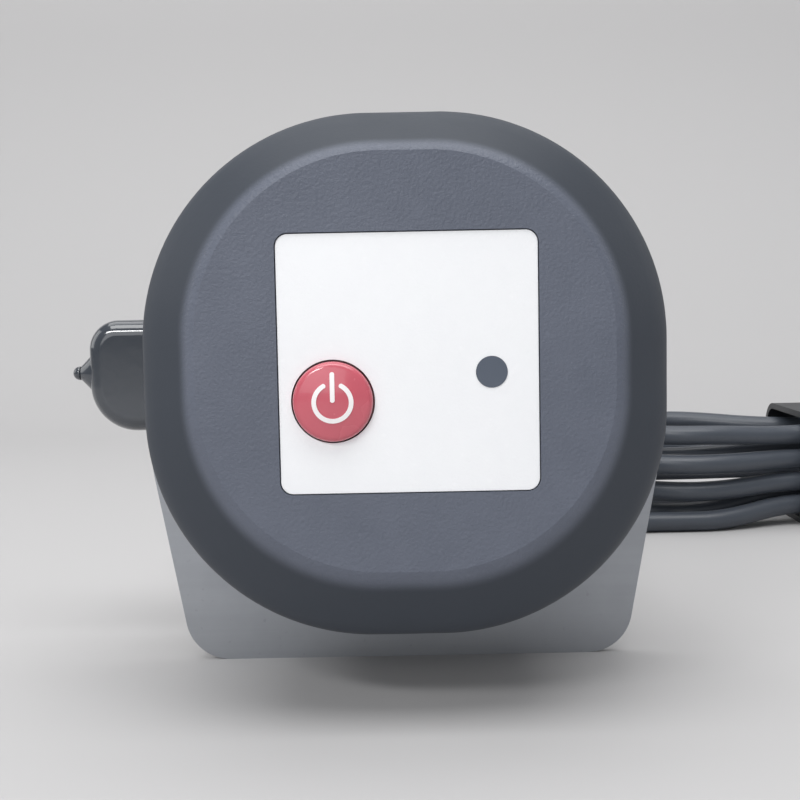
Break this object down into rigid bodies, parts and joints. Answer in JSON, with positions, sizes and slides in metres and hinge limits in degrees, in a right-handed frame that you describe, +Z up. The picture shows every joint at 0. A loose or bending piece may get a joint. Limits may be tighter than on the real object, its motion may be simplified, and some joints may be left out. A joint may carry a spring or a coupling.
{
  "type": "smart water valve",
  "caption": "Motorised controller in a rounded cap on a steel bracket, with a fork that turns the lever of a clamped ball valve, and a tied low-voltage lead.",
  "frame": {"origin": "centre of the bracket foot's underside, on the surface that it stands on", "axes": "+X to the right seen from the label, along the pipe; +Y from the label towards the valve; +Z up"},
  "size_m": [0.2784, 0.2352, 0.105],
  "materials": {
    "cap_plastic": "fine satin, cool dark grey",
    "shell_plastic": "satin, near black",
    "label_silver": "fine brushed silver",
    "button_red": "satin dark red",
    "symbol_white": "translucent white",
    "lens_smoke": "smoked, glossy",
    "seal_rubber": "matte",
    "stainless_steel": "brushed",
    "bolt_steel": "bright zinc",
    "spring_steel": "bright",
    "board_green": "solder mask",
    "part_black": "moulded",
    "shield_tin": "tinned",
    "terminal_green": "moulded",
    "gear_steel": "sintered, oiled",
    "gear_acetal": "moulded",
    "gear_brass": "machined",
    "motor_zinc": "drawn",
    "switch_black": "moulded",
    "fork_aluminium": "anodised",
    "valve_nickel": "nickel plated",
    "ball_chrome": "polished",
    "seat_white": "low friction plastic",
    "lever_steel": "pressed",
    "grip_vinyl": "dipped, semi gloss",
    "lead_black": "extruded, semi gloss",
    "tie_black": "moulded",
    "plug_black": "moulded",
    "barrel_nickel": "plated"
  },
  "bodies": {
    "housing": {"front_cap": "cap_plastic", "rear_shell": "shell_plastic", "housing_gasket": "seal_rubber", "housing_screws": "bolt_steel", "label_plate": "label_silver", "indicator_lens": "lens_smoke", "button_spring": "spring_steel", "control_board": "board_green", "tact_switch": "part_black", "radio_module": "shield_tin", "terminal_block": "terminal_green", "board_parts": "part_black", "board_screws": "bolt_steel", "motor_body": "motor_zinc", "motor_gearhead": "motor_zinc", "first_axle": "bolt_steel", "second_axle": "bolt_steel", "open_limit_switch": "switch_black", "closed_limit_switch": "switch_black", "gearbox_rear_plate": "stainless_steel", "gearbox_front_plate": "stainless_steel", "gearbox_pillars": "gear_brass", "gearbox_screws": "bolt_steel", "output_bush": "gear_brass", "shaft_seal": "seal_rubber", "mounting_bracket": "stainless_steel", "bracket_screws": "bolt_steel", "pipe_clamps": "stainless_steel", "clamp_saddles": "seal_rubber", "clamp_washers": "bolt_steel", "clamp_wing_nuts": "bolt_steel", "valve_body": "valve_nickel", "valve_end_cap": "valve_nickel", "ball_seats": "seat_white", "stem_packing": "seat_white", "gland_nut": "gear_brass", "cord_gland": "seal_rubber", "lead_run": "lead_black", "lead_hank": "lead_black", "hank_tie": "tie_black", "dc_plug": "plug_black", "dc_plug_barrel": "barrel_nickel"},
    "drive": {"output_shaft": "stainless_steel", "output_gear": "gear_steel", "limit_cam": "switch_black", "drive_fork": "fork_aluminium", "finger_bolts": "bolt_steel", "finger_sleeves": "seal_rubber", "fork_set_screw": "bolt_steel"},
    "second_gear": {"second_gear": "gear_steel"},
    "first_gear": {"first_gear": "gear_acetal"},
    "motor_shaft": {"motor_pinion": "gear_brass", "gearhead_shaft": "bolt_steel"},
    "lever": {"valve_lever": "lever_steel", "lever_nut": "bolt_steel", "lever_sleeve": "grip_vinyl", "valve_stem": "gear_brass", "valve_ball": "ball_chrome"},
    "button": {"power_button": "button_red", "button_symbol": "symbol_white"}
  },
  "joints": [
    {"name": "drive_turn", "type": "hinge", "parent": "housing", "child": "drive", "pos_m": [0, -0.03, 0.0574], "axis": [0, 1, 0], "range_deg": [0, 90]},
    {"name": "lever_turn", "type": "hinge", "parent": "housing", "child": "lever", "pos_m": [0, 0, 0.0574], "axis": [0, 1, 0], "range_deg": [0, 90]},
    {"name": "second_gear_turn", "type": "hinge", "parent": "housing", "child": "second_gear", "pos_m": [0.013, -0.05, 0.07992], "axis": [0, 1, 0], "range_deg": [-300, 0]},
    {"name": "first_gear_turn", "type": "hinge", "parent": "housing", "child": "first_gear", "pos_m": [-0.0026, -0.05, 0.07992], "axis": [0, 1, 0], "range_deg": [0, 1000]},
    {"name": "motor_shaft_turn", "type": "hinge", "parent": "housing", "child": "motor_shaft", "pos_m": [-0.01538, -0.05, 0.07097], "axis": [0, 1, 0], "range_deg": [-3333.34, 0]},
    {"name": "button_press", "type": "slide", "parent": "housing", "child": "button", "axis": [0, 1, 0], "range_m": [0, 0.0012], "stiffness_N_per_m": 600, "springref_m": -0.0005, "deforming": ["button_spring"]}
  ],
  "couplings": [
    {"joint": "lever_turn", "follows": "drive_turn", "ratio": 1},
    {"joint": "second_gear_turn", "follows": "drive_turn", "ratio": -3.3333},
    {"joint": "first_gear_turn", "follows": "drive_turn", "ratio": 11.111},
    {"joint": "motor_shaft_turn", "follows": "drive_turn", "ratio": -37.037}
  ]
}
